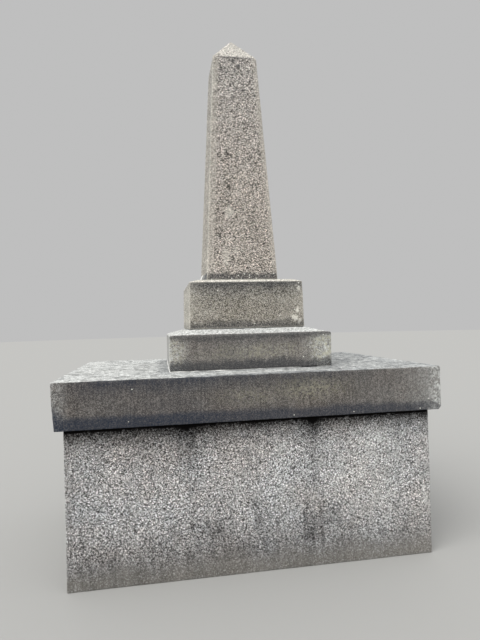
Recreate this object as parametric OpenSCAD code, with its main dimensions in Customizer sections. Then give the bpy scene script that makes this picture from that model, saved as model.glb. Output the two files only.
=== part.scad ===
// Granite obelisk on a die, a washed plinth and the cap of a slab-built chest.
// Millimetres, +Z up. The origin is the centre of the chest's footprint at the ground.
// The front looks along -Y, and left and right are a viewer's who faces it.

/* [Chest] */
// Width of the chest over its two ends
chest_w = 2236; // [1700:1:2800]
// Depth of the chest over its front and back slabs
chest_d = 1440; // [1250:1:2000]
// Height of the four upright slabs
chest_h = 915; // [600:1:1200]
// Thickness of the front and back slabs
face_slab_t = 180; // [120:1:250]
// Thickness of the two end slabs
end_slab_t = 180; // [120:1:250]
// Worn radius of the slabs' arrises
slab_arris = 7; // [2:1:20]
// Width of the mortar joint between an end slab and a face slab
corner_joint_w = 6; // [3:1:15]
// Depth to which the mortar is raked back from the stone's face
rake = 5; // [1:1:15]

/* [Cap] */
// Height of the cap slab
cap_h = 273; // [150:1:400]
// Overhang of the cap past each end of the chest
cap_end_over = 52; // [20:1:150]
// Overhang of the cap past the front and the back of the chest
cap_face_over = 70; // [20:1:150]
// Worn radius round the top of the cap
cap_top_arris = 12; // [3:1:30]
// Worn radius round the underside of the cap
cap_under_arris = 7; // [2:1:20]
// Worn radius of the cap's upright corners
cap_corner_r = 16; // [4:1:40]
// How far the left end of the cap draws in towards its underside
cap_left_draw = 14; // [2:1:40]
// Depth below the cap's top at which the left end starts to draw in
cap_left_upright = 85; // [40:1:120]
// Thickness of the mortar bed under the cap
cap_bed_t = 10; // [4:1:20]

/* [Stack] */
// How far the plinth, die and shaft stand right of the cap's centre
stack_x = 25; // [-60:1:60]
// How far the plinth, die and shaft stand back from the cap's centre
stack_y = 30; // [-60:1:60]

/* [Plinth] */
// Width of the square plinth
plinth_w = 1070; // [960:1:1200]
// Height of the plinth's upright faces
plinth_h = 222; // [120:1:350]
// Rise of the sloping wash from the plinth's edge to the die's seat
wash_rise = 37; // [10:1:80]
// Flat margin of the seat round the foot of the die
seat_margin = 6; // [2:1:30]
// Worn radius of the plinth's arrises
plinth_arris = 7; // [2:1:15]
// Thickness of the mortar bed under the plinth
plinth_bed_t = 6; // [3:1:15]

/* [Die] */
// Width of the square die at its foot
die_w = 789; // [720:1:900]
// Height of the die's faces
die_h = 315; // [200:1:500]
// How far each face of the die leans in at its top
die_batter = 5; // [0:1:20]
// Rise of the bevelled margin round the die's top
die_bevel_rise = 19; // [4:1:40]
// Width of the bevelled margin round the die's top
die_bevel_w = 55; // [15:1:60]
// Worn radius of the die's arrises
die_arris = 6; // [2:1:15]
// Thickness of the mortar bed under the die
die_bed_t = 4; // [2:1:10]

/* [Shaft] */
// How far the shaft stands right of the die's centre
shaft_x = -5; // [-30:1:30]
// Width of the square shaft at its foot
shaft_foot_w = 508; // [400:1:560]
// Width of the shaft at its shoulder, where the pyramidion starts
shaft_top_w = 317; // [220:1:390]
// Height of the tapering shaft, without the pyramidion
shaft_h = 1637; // [900:1:2400]
// Height of the pyramidion
pyramidion_h = 196; // [80:1:400]
// Width of the worn flat at the very tip
tip_w = 12; // [4:1:40]
// Width of the narrow worn flat along the shaft's arrises
shaft_arris = 6; // [2:1:20]
// Thickness of the mortar bed under the shaft
shaft_bed_t = 5; // [2:1:12]
// Width of the mortar fillet along the shaft's left foot
fillet_w = 37; // [8:1:50]
// Height of the mortar fillet along the shaft's left foot
fillet_h = 80; // [8:1:160]

/* [Hidden] */

// Straight steps in each rounded arris
arris_steps = 4;

cap_w = chest_w + 2 * cap_end_over;
cap_d = chest_d + 2 * cap_face_over;
end_slab_len = chest_d - 2 * (face_slab_t + corner_joint_w);

cap_z = chest_h + cap_bed_t;
plinth_bed_z = cap_z + cap_h;
plinth_z = plinth_bed_z + plinth_bed_t;
die_bed_z = plinth_z + plinth_h + wash_rise;
die_z = die_bed_z + die_bed_t;
shaft_bed_z = die_z + die_h + die_bevel_rise;
shaft_z = shaft_bed_z + shaft_bed_t;

granite = "#8d8b87";
granite_dark = "#77757a";
granite_pale = "#a3a09a";
granite_pink = "#a0968f";
mortar = "#c9c4b8";

function unit(v) = v / norm(v);
function cross_z(u, v) = u[0] * v[1] - u[1] * v[0];
function turned(v, a) = [v[0] * cos(a) - v[1] * sin(a), v[0] * sin(a) + v[1] * cos(a)];

// Points of the arc of radius r that rounds corner b between its neighbours a and c
function round_corner(a, b, c, r) =
    let (u = unit(a - b), v = unit(c - b), half = acos(u * v) / 2,
         mid = b + unit(u + v) * r / sin(half),
         first = b + u * r / tan(half) - mid,
         last = b + v * r / tan(half) - mid,
         sweep = atan2(cross_z(first, last), first * last))
    [for (i = [0 : arris_steps]) mid + turned(first, sweep * i / arris_steps)];

// The outline with a radius at each of its corners, where a radius of 0 leaves it sharp
function worn(outline, radii) =
    let (n = len(outline))
    [for (i = [0 : n - 1])
        each radii[i] > 0
            ? round_corner(outline[(i + n - 1) % n], outline[i], outline[(i + 1) % n], radii[i])
            : [outline[i]]];

// A rectangle from its low corner to its high one, with radii from the low corner anticlockwise
function worn_box(low, high, radii) =
    worn([low, [high[0], low[1]], high, [low[0], high[1]]], radii);

// Half the width of the shaft at a height above its foot
function shaft_half(z) = (shaft_foot_w + (shaft_top_w - shaft_foot_w) * z / shaft_h) / 2;

// A front elevation, drawn in X and Z, carried through the depth
module through_y(outline, depth) {
    rotate([90, 0, 0])
        linear_extrude(depth, center = true)
            polygon(outline);
}

// A side elevation, drawn in Y and Z, carried through the width
module through_x(outline, width) {
    rotate([90, 0, 90])
        linear_extrude(width, center = true)
            polygon(outline);
}

// The shaft's elevation with its pyramidion, a given width beyond the true half-width
module shaft_elevation(spread, back) {
    foot = shaft_half(0) * spread - back;
    shoulder = shaft_half(shaft_h) * spread - back;
    tip = tip_w / 2 * spread;
    polygon([[-foot, 0], [foot, 0], [shoulder, shaft_h], [tip, shaft_h + pyramidion_h],
             [-tip, shaft_h + pyramidion_h], [-shoulder, shaft_h]]);
}

// One full-width face slab, drawn as the front one
module face_slab() {
    half = chest_w / 2;
    outer = -chest_d / 2;
    inner = outer + face_slab_t;
    a = slab_arris;
    intersection() {
        linear_extrude(chest_h)
            polygon(worn_box([-half, outer], [half, inner], [a, a, 0, 0]));
        through_x(worn_box([outer, 0], [inner, chest_h], [0, 0, 0, a]), chest_w);
        through_y(worn_box([-half, 0], [half, chest_h], [0, 0, a, a]), 2 * chest_d);
    }
}

// One end slab between the face slabs, drawn as the right one
module end_slab() {
    outer = chest_w / 2;
    through_y(worn_box([outer - end_slab_t, 0], [outer, chest_h], [0, 0, slab_arris, 0]),
              end_slab_len);
}

// The upright mortar joint at the front right corner
module corner_joint() {
    translate([chest_w / 2 - end_slab_t, end_slab_len / -2 - corner_joint_w, 0])
        cube([end_slab_t - rake, corner_joint_w, chest_h]);
}

// The mortar on top of a face slab, drawn as the front one
module face_cap_bed() {
    translate([-chest_w / 2 + rake, -chest_d / 2 + rake, chest_h])
        cube([chest_w - 2 * rake, face_slab_t - rake, cap_bed_t]);
}

// The mortar on top of an end slab, drawn as the right one
module end_cap_bed() {
    translate([chest_w / 2 - end_slab_t, -end_slab_len / 2, chest_h])
        cube([end_slab_t - rake, end_slab_len, cap_bed_t]);
}

module front_slab() { color(granite) face_slab(); }

module back_slab() { color(granite) rotate([0, 0, 180]) face_slab(); }

module right_end_slab() { color(granite) end_slab(); }

module left_end_slab() { color(granite) rotate([0, 0, 180]) end_slab(); }

module front_right_joint() { color(mortar) corner_joint(); }

module back_left_joint() { color(mortar) rotate([0, 0, 180]) corner_joint(); }

module front_left_joint() { color(mortar) mirror([1, 0, 0]) corner_joint(); }

module back_right_joint() { color(mortar) mirror([0, 1, 0]) corner_joint(); }

module front_cap_bed() { color(mortar) face_cap_bed(); }

module back_cap_bed() { color(mortar) rotate([0, 0, 180]) face_cap_bed(); }

module right_cap_bed() { color(mortar) end_cap_bed(); }

module left_cap_bed() { color(mortar) rotate([0, 0, 180]) end_cap_bed(); }

// The cap: three elevations worn at their corners, with the left end drawn in below
module cap_slab() {
    x = cap_w / 2;
    y = cap_d / 2;
    t = cap_top_arris;
    u = cap_under_arris;
    c = cap_corner_r;
    front = worn([[cap_left_draw - x, 0], [x, 0], [x, cap_h], [-x, cap_h],
                  [-x, cap_h - cap_left_upright]], [u, u, t, t, 0]);
    color(granite_dark)
        translate([0, 0, cap_z])
            intersection() {
                linear_extrude(cap_h)
                    polygon(worn_box([-x, -y], [x, y], [c, c, c, c]));
                through_y(front, 2 * cap_d);
                through_x(worn_box([-y, 0], [y, cap_h], [u, u, t, t]), 2 * cap_w);
            }
}

module plinth_bed() {
    w = plinth_w - 2 * rake;
    color(mortar)
        translate([stack_x - w / 2, stack_y - w / 2, plinth_bed_z])
            cube([w, w, plinth_bed_t]);
}

// The plinth's elevation: upright faces, then the wash up to the flat seat of the die
module plinth_stone() {
    x = plinth_w / 2;
    s = die_w / 2 + seat_margin;
    a = plinth_arris;
    outline = worn([[-x, 0], [x, 0], [x, plinth_h], [s, plinth_h + wash_rise],
                    [-s, plinth_h + wash_rise], [-x, plinth_h]], [a, a, a, 0, 0, a]);
    color(granite_pale)
        translate([stack_x, stack_y, plinth_z])
            intersection() {
                linear_extrude(plinth_h + wash_rise)
                    polygon(worn_box([-x, -x], [x, x], [a, a, a, a]));
                through_y(outline, 2 * plinth_w);
                through_x(outline, 2 * plinth_w);
            }
}

module die_bed() {
    w = die_w - 2 * rake;
    color(mortar)
        translate([stack_x - w / 2, stack_y - w / 2, die_bed_z])
            cube([w, w, die_bed_t]);
}

// The die's elevation: slightly battered faces, then a bevelled margin up to the shaft's seat
module die_stone() {
    x = die_w / 2;
    top = x - die_batter;
    s = top - die_bevel_w;
    full = die_h + die_bevel_rise;
    a = die_arris;
    outline = worn([[-x, 0], [x, 0], [top, die_h], [s, full], [-s, full], [-top, die_h]],
                   [a, a, a, 0, 0, a]);
    color(granite)
        translate([stack_x, stack_y, die_z])
            intersection() {
                linear_extrude(full)
                    polygon(worn_box([-x, -x], [x, x], [a, a, a, a]));
                through_y(outline, 2 * die_w);
                through_x(outline, 2 * die_w);
            }
}

// The bed under the shaft, with the fillet that is struck against the shaft's left face
module shaft_bed() {
    x = shaft_foot_w / 2;
    w = x - rake;
    color(mortar)
        translate([stack_x + shaft_x, stack_y, shaft_bed_z])
            through_y([[-x - fillet_w, 0], [w, 0], [w, shaft_bed_t], [-x, shaft_bed_t],
                       [-shaft_half(fillet_h), shaft_bed_t + fillet_h]], 2 * w);
}

// The shaft and its pyramidion: the same elevation from the front and from the side, and
// once more from the corner, which takes the narrow worn flats off the arrises and the hips
module obelisk_shaft() {
    reach = 2 * shaft_foot_w;
    color(granite_pink)
        translate([stack_x + shaft_x, stack_y, shaft_z])
            intersection() {
                rotate([90, 0, 0])
                    linear_extrude(reach, center = true)
                        shaft_elevation(1, 0);
                rotate([90, 0, 90])
                    linear_extrude(reach, center = true)
                        shaft_elevation(1, 0);
                rotate([90, 0, 45])
                    linear_extrude(reach, center = true)
                        shaft_elevation(sqrt(2), shaft_arris / 2);
                rotate([90, 0, 135])
                    linear_extrude(reach, center = true)
                        shaft_elevation(sqrt(2), shaft_arris / 2);
            }
}

front_slab();
back_slab();
left_end_slab();
right_end_slab();
front_left_joint();
front_right_joint();
back_left_joint();
back_right_joint();
front_cap_bed();
back_cap_bed();
left_cap_bed();
right_cap_bed();
cap_slab();
plinth_bed();
plinth_stone();
die_bed();
die_stone();
shaft_bed();
obelisk_shaft();
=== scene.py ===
"""The looks of a granite obelisk on a chest base: worn stones, mortar, weathering, light and camera.

Every stone is a closed shell of numpy grids. It is drawn in onto the stone's worn shape, roughened,
and carries its weathering as point attributes, which the procedural granites read.
"""
import functools
import itertools
import math

import bpy
import numpy as np
from bpy.props import FloatProperty, FloatVectorProperty, IntProperty, PointerProperty
from mathutils import Matrix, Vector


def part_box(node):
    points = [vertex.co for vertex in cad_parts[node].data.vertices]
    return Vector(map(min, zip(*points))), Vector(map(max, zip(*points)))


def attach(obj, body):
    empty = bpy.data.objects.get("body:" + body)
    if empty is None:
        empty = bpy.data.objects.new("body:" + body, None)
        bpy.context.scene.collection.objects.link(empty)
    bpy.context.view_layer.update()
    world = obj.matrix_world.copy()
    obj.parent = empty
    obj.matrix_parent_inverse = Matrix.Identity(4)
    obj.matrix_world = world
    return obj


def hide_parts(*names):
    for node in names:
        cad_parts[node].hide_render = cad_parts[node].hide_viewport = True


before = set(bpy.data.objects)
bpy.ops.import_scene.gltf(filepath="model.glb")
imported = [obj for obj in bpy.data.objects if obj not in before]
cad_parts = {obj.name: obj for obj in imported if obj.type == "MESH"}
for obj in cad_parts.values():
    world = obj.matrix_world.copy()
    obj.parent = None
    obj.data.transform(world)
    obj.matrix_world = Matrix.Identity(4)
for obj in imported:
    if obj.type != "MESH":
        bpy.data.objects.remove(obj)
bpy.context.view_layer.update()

bl_info = {
    "name": "Granite Obelisk Finish",
    "version": (1, 0, 0),
    "blender": (4, 5, 0),
    "location": "View3D > Sidebar > Obelisk",
    "description": "Dresses a granite obelisk with worn, weathered stone, mortar, light and camera",
    "category": "Object",
}

BODY = "root"
# Soot also carries painted shade; top, pale and coarse paint lit left faces; edge adds a painted highlight
MARKS = ("soot", "pale", "top", "earth", "lichen", "edge", "smooth", "coarse", "dots")
# Extra grid lines close to each end of a stone, where its arrises are rounded
RIM_LINES = np.array((0.002, 0.0045, 0.008))
FOUR_WAYS = ((1, 0), (-1, 0), (0, 1), (0, -1))
# Which of a box's planes are its upright sides, and which of a leaning box's are its faces
BOX_SIDES = [0, 1, 3, 4]
LEANING_SIDES = [2, 3, 4, 5]


def linear(red, green, blue):
    """A linear colour from display values of 0 to 255."""
    return tuple((v / 255 / 12.92 if v < 11 else ((v / 255 + 0.055) / 1.055) ** 2.4)
                 for v in (red, green, blue))


def length(name, description, default):
    """A length property in metres."""
    return FloatProperty(name=name, description=description, default=default, min=0.0, precision=4,
                         unit="LENGTH")


def colour(name, description, *display):
    """A colour property, given by display values of 0 to 255."""
    return FloatVectorProperty(name=name, description=description, default=linear(*display), size=3,
                               min=0.0, max=1.0, subtype="COLOR")


class ObeliskShape(bpy.types.PropertyGroup):
    """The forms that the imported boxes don't give, and the wear."""

    shoulder_w: length("Shoulder width", "Width of the shaft where the pyramidion starts", 0.317)
    shoulder_z: length("Shoulder height", "Height of the shoulder above the shaft's foot", 1.637)
    tip_w: length("Tip width", "Width of the flat at the very tip", 0.012)
    wash_rise: length("Wash rise", "Rise of the plinth's sloping top", 0.037)
    seat_margin: length("Seat margin", "Flat margin of the wash round the die", 0.006)
    die_batter: length("Die batter", "How far each face of the die leans in at its top", 0.005)
    bevel_rise: length("Bevel rise", "Rise of the bevelled margin round the die's top", 0.019)
    bevel_w: length("Bevel width", "Width of the bevelled margin round the die's top", 0.055)
    end_draw: length("End draw", "How far the cap's left end draws in below", 0.014)
    end_upright: length("Upright end", "Depth of the cap's left end that stays upright", 0.085)
    grid: length("Grid", "Spacing of the surface grids", 0.0068)
    arris: length("Arris", "Mean worn radius of the arrises", 0.0048)
    margin_w: length("Margin", "Width of the smooth margins along upright arrises", 0.034)
    splash_h: length("Splash height", "Height of the earth splashed up the chest", 0.15)
    lift: length("Lift", "How far the rough faces stand out, so that their mean lies on the stone", 0.0015)
    seed: IntProperty(name="Seed", description="Seed of chips, pits and stains", default=7)


class ObeliskColours(bpy.types.PropertyGroup):
    """Colours of the crystals in each granite, and of what lies on them."""

    chest_light: colour("Chest feldspar", "Pale crystals of the chest", 253, 254, 253)
    chest_mid: colour("Chest quartz", "Grey crystals of the chest", 151, 149, 147)
    chest_dark: colour("Chest mica", "Dark crystals of the chest", 35, 32, 29)
    # The chest's soot colour also paints the shade under the cap's overhang
    chest_soot_and_shade: colour("Chest soot", "Growth and drip stains on the chest", 19, 18, 18)
    cap_light: colour("Cap feldspar", "Pale crystals of the cap", 154, 150, 145)
    cap_mid: colour("Cap quartz", "Grey crystals of the cap", 96, 93, 90)
    cap_dark: colour("Cap mica", "Dark crystals of the cap", 51, 48, 47)
    # The cap's soot colour also paints the shade on its underside and the stack's shadow on its top
    cap_soot_and_shade: colour("Cap soot", "Blue-black growth along the cap", 50, 57, 70)
    plinth_light: colour("Plinth feldspar", "Pale crystals of the plinth", 176, 173, 166)
    plinth_mid: colour("Plinth quartz", "Grey crystals of the plinth", 116, 113, 110)
    plinth_dark: colour("Plinth mica", "Dark crystals of the plinth", 64, 62, 58)
    plinth_soot: colour("Plinth soot", "Dark growth on the plinth", 66, 68, 71)
    die_light: colour("Die feldspar", "Pale crystals of the die", 202, 199, 190)
    die_mid: colour("Die quartz", "Grey crystals of the die", 125, 121, 114)
    die_dark: colour("Die mica", "Dark crystals of the die", 54, 51, 43)
    shaft_light: colour("Shaft feldspar", "Pale pinkish crystals of the shaft", 245, 239, 231)
    shaft_mid: colour("Shaft quartz", "Grey crystals of the shaft", 151, 145, 137)
    shaft_dark: colour("Shaft mica", "Dark crystals of the shaft", 43, 37, 29)
    # This soot colour also paints the shade in the cap's bed, the plinth bed's gap and the shaft's hollows
    soot: colour("Soot", "Dark growth on the upper stones", 55, 58, 63)
    # The two washed colours also paint the arrises' highlight and the lit left faces paler
    pale: colour("Washed", "Rain-washed stone of the chest, cap and plinth", 223, 226, 224)
    creamy: colour("Bleached", "Rain-washed stone of the die and the shaft", 229, 226, 216)
    earth: colour("Splash", "Earth splashed up from the ground", 128, 125, 118)
    lichen: colour("Lichen", "Thin yellowish lichen", 191, 188, 163)
    dots: colour("Lichen dots", "Round white lichen", 232, 233, 226)
    mortar: colour("Mortar", "Lime mortar in the beds and joints", 248, 248, 244)
    floor: colour("Floor", "The pale floor", 176, 176, 174)


class ObeliskStage(bpy.types.PropertyGroup):
    """Where the camera stands, and the light."""

    eye: FloatVectorProperty(name="Eye", description="Place of the camera", size=3, unit="LENGTH",
                             default=(-0.5623, -3.5627, 1.4985))
    yaw: FloatProperty(name="Yaw", description="How far the view turns right of the front",
                       default=0.1649, subtype="ANGLE")
    pitch: FloatProperty(name="Pitch", description="How far the view tilts up",
                         default=0.0069, subtype="ANGLE")
    roll: FloatProperty(name="Roll", description="How far the camera leans clockwise",
                        default=-0.0262, subtype="ANGLE")
    focal: FloatProperty(name="Focal length", description="For a picture 36 mm wide, in millimetres",
                         default=35.967)
    sky: FloatProperty(name="Sky", description="Strength of the even light", default=0.86)
    sun: FloatProperty(name="Sun", description="Strength of the soft lamp", default=1.9)


def settings(group):
    """One of the scene's three property groups."""
    return getattr(bpy.context.scene, "obelisk_" + group)


def hashed(cells, seed):
    """Numbers from 0 to 1, one for each whole-number cell: its three numbers are mixed by large odd
    factors and the bits are folded over each other."""
    c = cells.astype(np.int64).astype(np.uint32)
    mixed = c[..., 0] * np.uint32(374761393)
    mixed = mixed + c[..., 1] * np.uint32(668265263) + c[..., 2] * np.uint32(2246822519)
    mixed = mixed + np.uint32(seed * 40503 % 2**32)
    for shift in (15, 13, 16):
        mixed = (mixed ^ (mixed >> np.uint32(shift))) * np.uint32(2654435761)
    return (mixed >> np.uint32(8)).astype(float) / 2**24


def noise(points, size, seed):
    """Smooth noise from -1 to 1: the hashed numbers at the eight corners of each cube of this size,
    blended by cubic weights."""
    place = points / size
    cell = np.floor(place)
    part = place - cell
    part = part * part * (3 - 2 * part)
    total = np.zeros(len(points))
    for corner in itertools.product((0, 1), repeat=3):
        weight = np.prod(np.where(corner, part, 1 - part), axis=1)
        total += weight * hashed(cell + corner, seed)
    return 2 * total - 1


def rough(points, size, layers, seed):
    """Noise of this size with finer layers on it, each half as large and half as strong."""
    strengths = 0.5 ** np.arange(layers)
    total = sum(s * noise(points, size * s, seed + i) for i, s in enumerate(strengths))
    return total / strengths.sum()


def swell(points, size, layers, seed):
    """The rough noise stretched to run from 0 to 1, so that relief cut by it stays shallow."""
    return np.clip(0.5 + 1.1 * rough(points, size, layers, seed), 0, 1)


def pits(points, size, share, seed):
    """Round hollows from 0 to 1: a share of the cubes of this size holds one, at a hashed place, and
    its depth falls as the square of the distance from its middle."""
    place = points / size
    cell = np.floor(place)
    deepest = np.zeros(len(points))
    for step in itertools.product((-1, 0, 1), repeat=3):
        near = cell + step
        middle = near + np.stack([hashed(near, seed + k) for k in (1, 2, 3)], axis=1)
        reach = 0.35 + 0.4 * hashed(near, seed + 4)
        away = ((place - middle) ** 2).sum(axis=1) / reach**2
        held = hashed(near, seed + 5) < share
        deepest = np.maximum(deepest, np.where(held, 1 - away, 0))
    return deepest


def ramp(values, start, end):
    """0 before start and 1 past end, smooth between them, in either order."""
    part = np.clip((values - start) / (end - start), 0, 1)
    return part * part * (3 - 2 * part)


def spread(low, high, step):
    """Coordinates from low to high, about a step apart, with extra lines close to both ends."""
    start, end = low + RIM_LINES, high - RIM_LINES
    inner = np.linspace(start[-1], end[-1], max(2, round((high - low - 2 * RIM_LINES[-1]) / step) + 1))
    return np.concatenate([[low], start[:-1], inner, end[:-1][::-1], [high]])


def shell(xs, ys, zs, plain):
    """A box whose six sides are grids over these coordinates and share their edge points.

    Plain maps a side's name, such as "-z", to the number of rows kept round its border: one flat
    face closes the rest. Returns the points, the quads and those flat faces."""
    nx, ny, nz = len(xs), len(ys), len(zs)
    number = np.arange(nx * ny * nz).reshape(nx, ny, nz)
    sides = {"-x": number[0].T, "+x": number[-1], "-y": number[:, 0], "+y": number[:, -1].T,
             "-z": number[:, :, 0].T, "+z": number[:, :, -1]}
    quads, flats = [], []
    for name, grid in sides.items():
        cells = np.stack([grid[:-1, :-1], grid[1:, :-1], grid[1:, 1:], grid[:-1, 1:]], axis=-1)
        keep = np.ones(cells.shape[:2], bool)
        rim = plain.get(name)
        if rim:
            keep[rim:-rim, rim:-rim] = False
            inner = grid[rim:-rim, rim:-rim]
            flats.append(np.concatenate([inner[:-1, 0], inner[-1, :-1], inner[:0:-1, -1],
                                         inner[0, :0:-1]]))
        quads.append(cells[keep])
    quads = np.concatenate(quads)
    used, back = np.unique(np.concatenate([quads.ravel(), *flats]), return_inverse=True)
    i, j, k = np.unravel_index(used, (nx, ny, nz))
    points = np.stack([xs[i], ys[j], zs[k]], axis=1)
    ends = quads.size + np.cumsum([0] + [len(f) for f in flats])
    flats = [back[a:b] for a, b in zip(ends[:-1], ends[1:])]
    return points, back[:quads.size].reshape(-1, 4), flats


def box_planes(low, high):
    """The outward normals of a box's six sides, the three low ones first, and how far out each lies."""
    normals = np.concatenate([-np.eye(3), np.eye(3)])
    return normals, np.concatenate([-np.array(low), np.array(high)])


def with_planes(planes, extra):
    """The planes with more added, each given by a normal of any length and a point that it holds."""
    normals = [np.array(n, float) / np.linalg.norm(n) for n, _ in extra]
    offsets = [n @ np.array(p, float) for n, (_, p) in zip(normals, extra)]
    return np.concatenate([planes[0], normals]), np.concatenate([planes[1], offsets])


def worn_in(points, planes, radius):
    """Draws the points in to where a smooth maximum of their heights over all planes is zero.

    The maximum is a radius times the logarithm of the sum of exponentials, so that flat faces stay
    and each arris becomes a round of about that radius. Returns the points, the outward directions
    and how near to an arris each lies, from 0 to 1."""
    normals, offsets = planes
    points = points.copy()
    for _ in range(5):
        over = (points @ normals.T - offsets) / radius[:, None]
        top = over.max(axis=1)
        weight = np.exp(over - top[:, None])
        total = weight.sum(axis=1)
        level = radius * (top + np.log(total))
        slope = (weight / total[:, None]) @ normals
        steep = (slope**2).sum(axis=1)
        points -= (level / steep)[:, None] * slope
    outward = slope / np.sqrt(steep)[:, None]
    return points, outward, np.clip(3.4 * (1 - np.sqrt(steep)), 0, 1)


def chipped(points, chips):
    """Pushes the points that lie inside each chip's sphere out to its surface, away from its
    middle, which leaves a scoop in the stone. A chip is its middle and its radius."""
    points = points.copy()
    for middle, radius in chips:
        arm = points - middle
        away = np.sqrt((arm**2).sum(axis=1))
        inside = (away < radius) & (away > 1e-6)
        points[inside] = middle + arm[inside] * (radius / away[inside])[:, None]
    return points


def arris_chips(start, end, outward, each, sizes, rng):
    """Chips along an arris from start to end, so many to a metre. Their middles are set outside it,
    so that each bites in by little more than a quarter of its radius at most."""
    start, end, outward = (np.array(v, float) for v in (start, end, outward))
    outward /= np.linalg.norm(outward)
    chips = []
    for _ in range(int(each * np.linalg.norm(end - start))):
        radius = rng.uniform(*sizes)
        middle = start + (end - start) * rng.uniform(0.01, 0.99)
        chips.append((middle + outward * radius * rng.uniform(0.72, 0.95), radius))
    return chips


def side_distance(points, planes, sides):
    """How far each point lies from the second nearest of these planes: on an upright face, its
    distance from the face's nearest upright arris."""
    over = points @ planes[0][sides].T - planes[1][sides]
    return -np.sort(over, axis=1)[:, -2]


def mesh_object(name, points, quads, flats=()):
    """A smooth-shaded mesh object at the origin from points, quads and larger faces."""
    loops = np.concatenate([quads.ravel(), *flats]).astype(np.int32)
    sizes = np.concatenate([np.full(len(quads), 4), [len(f) for f in flats]]).astype(int)
    starts = np.concatenate([[0], np.cumsum(sizes)[:-1]]).astype(np.int32)
    mesh = bpy.data.meshes.new(name)
    mesh.vertices.add(len(points))
    mesh.vertices.foreach_set("co", points.astype(np.float32).ravel())
    mesh.loops.add(len(loops))
    mesh.loops.foreach_set("vertex_index", loops)
    mesh.polygons.add(len(sizes))
    mesh.polygons.foreach_set("loop_start", starts)
    mesh.update(calc_edges=True)
    mesh.shade_smooth()
    piece = bpy.data.objects.new(name, mesh)
    bpy.context.scene.collection.objects.link(piece)
    return piece


def paint(piece, marks):
    """Stores each mark as a point attribute. A mark that isn't given is 0 everywhere."""
    count = len(piece.data.vertices)
    for name in MARKS:
        layer = piece.data.attributes.new(name, "FLOAT", "POINT")
        values = np.clip(np.broadcast_to(marks.get(name, 0.0), count), 0, 1)
        layer.data.foreach_set("value", values.astype(np.float32))


def place(piece, node, slot, material):
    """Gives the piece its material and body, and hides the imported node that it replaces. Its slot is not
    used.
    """
    piece.data.materials.append(material)
    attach(piece, BODY)
    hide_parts(node)


def corners(node):
    """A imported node's lowest and highest corners as arrays."""
    low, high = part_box(node)
    return np.array(low, float), np.array(high, float)


class Stone:
    """A stone in the making: the shell of its packed box, and then what is done to it in turn.

    Rest holds its points as cut, by which all noise and marks are laid, and points holds them worn.
    Steps are the spacings of its grid, and tall is the shell's height where it isn't the box's."""

    def __init__(self, node, seed, steps, plain, tall=None):
        self.node, self.seed = node, seed
        self.rng = np.random.default_rng(settings("shape").seed + seed)
        self.low, self.high = corners(node)
        self.middle = (self.low + self.high) / 2
        self.half = (self.high[0] - self.low[0]) / 2
        tops = (*self.high[:2], self.high[2] if tall is None else self.low[2] + tall)
        self.rest, self.quads, self.flats = shell(*map(spread, self.low, tops, steps), plain)

    def reach(self):
        """How far out each point lies from the upright axis through the middle, measured squarely."""
        return np.abs(self.rest[:, :2] - self.middle[:2]).max(axis=1)

    def narrow(self, share):
        """Draws the points in to a share of their distance from that axis."""
        self.rest[:, :2] = self.middle[:2] + (self.rest[:, :2] - self.middle[:2]) * share[:, None]

    def slopes(self, half, level, across, up):
        """Four planes round the middle, in the form that with_planes takes. The normal of each leans
        out by across and up by up, and the plane holds the point half a width out at this level."""
        return [((wx * across, wy * across, up),
                 (self.middle[0] + wx * half, self.middle[1] + wy * half, level))
                for wx, wy in FOUR_WAYS]

    def wear(self, planes, radius):
        """Draws the points in onto the planes, and rounds the arrises by this radius."""
        self.planes = planes
        self.points, self.outward, self.edge = worn_in(self.rest, planes, radius)

    def chip(self, chips):
        """Scoops the chips out of the worn points."""
        self.points = chipped(self.points, chips)

    def cut(self, depth):
        """Moves each point in by its depth, straight against its outward direction."""
        self.points = self.points - self.outward * depth[:, None]

    def dress(self, name, marks, slot, material):
        """Makes the mesh, stores its marks, and puts it in its node's place."""
        piece = mesh_object(name, self.points, self.quads, self.flats)
        paint(piece, marks)
        place(piece, self.node, slot, material)


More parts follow.
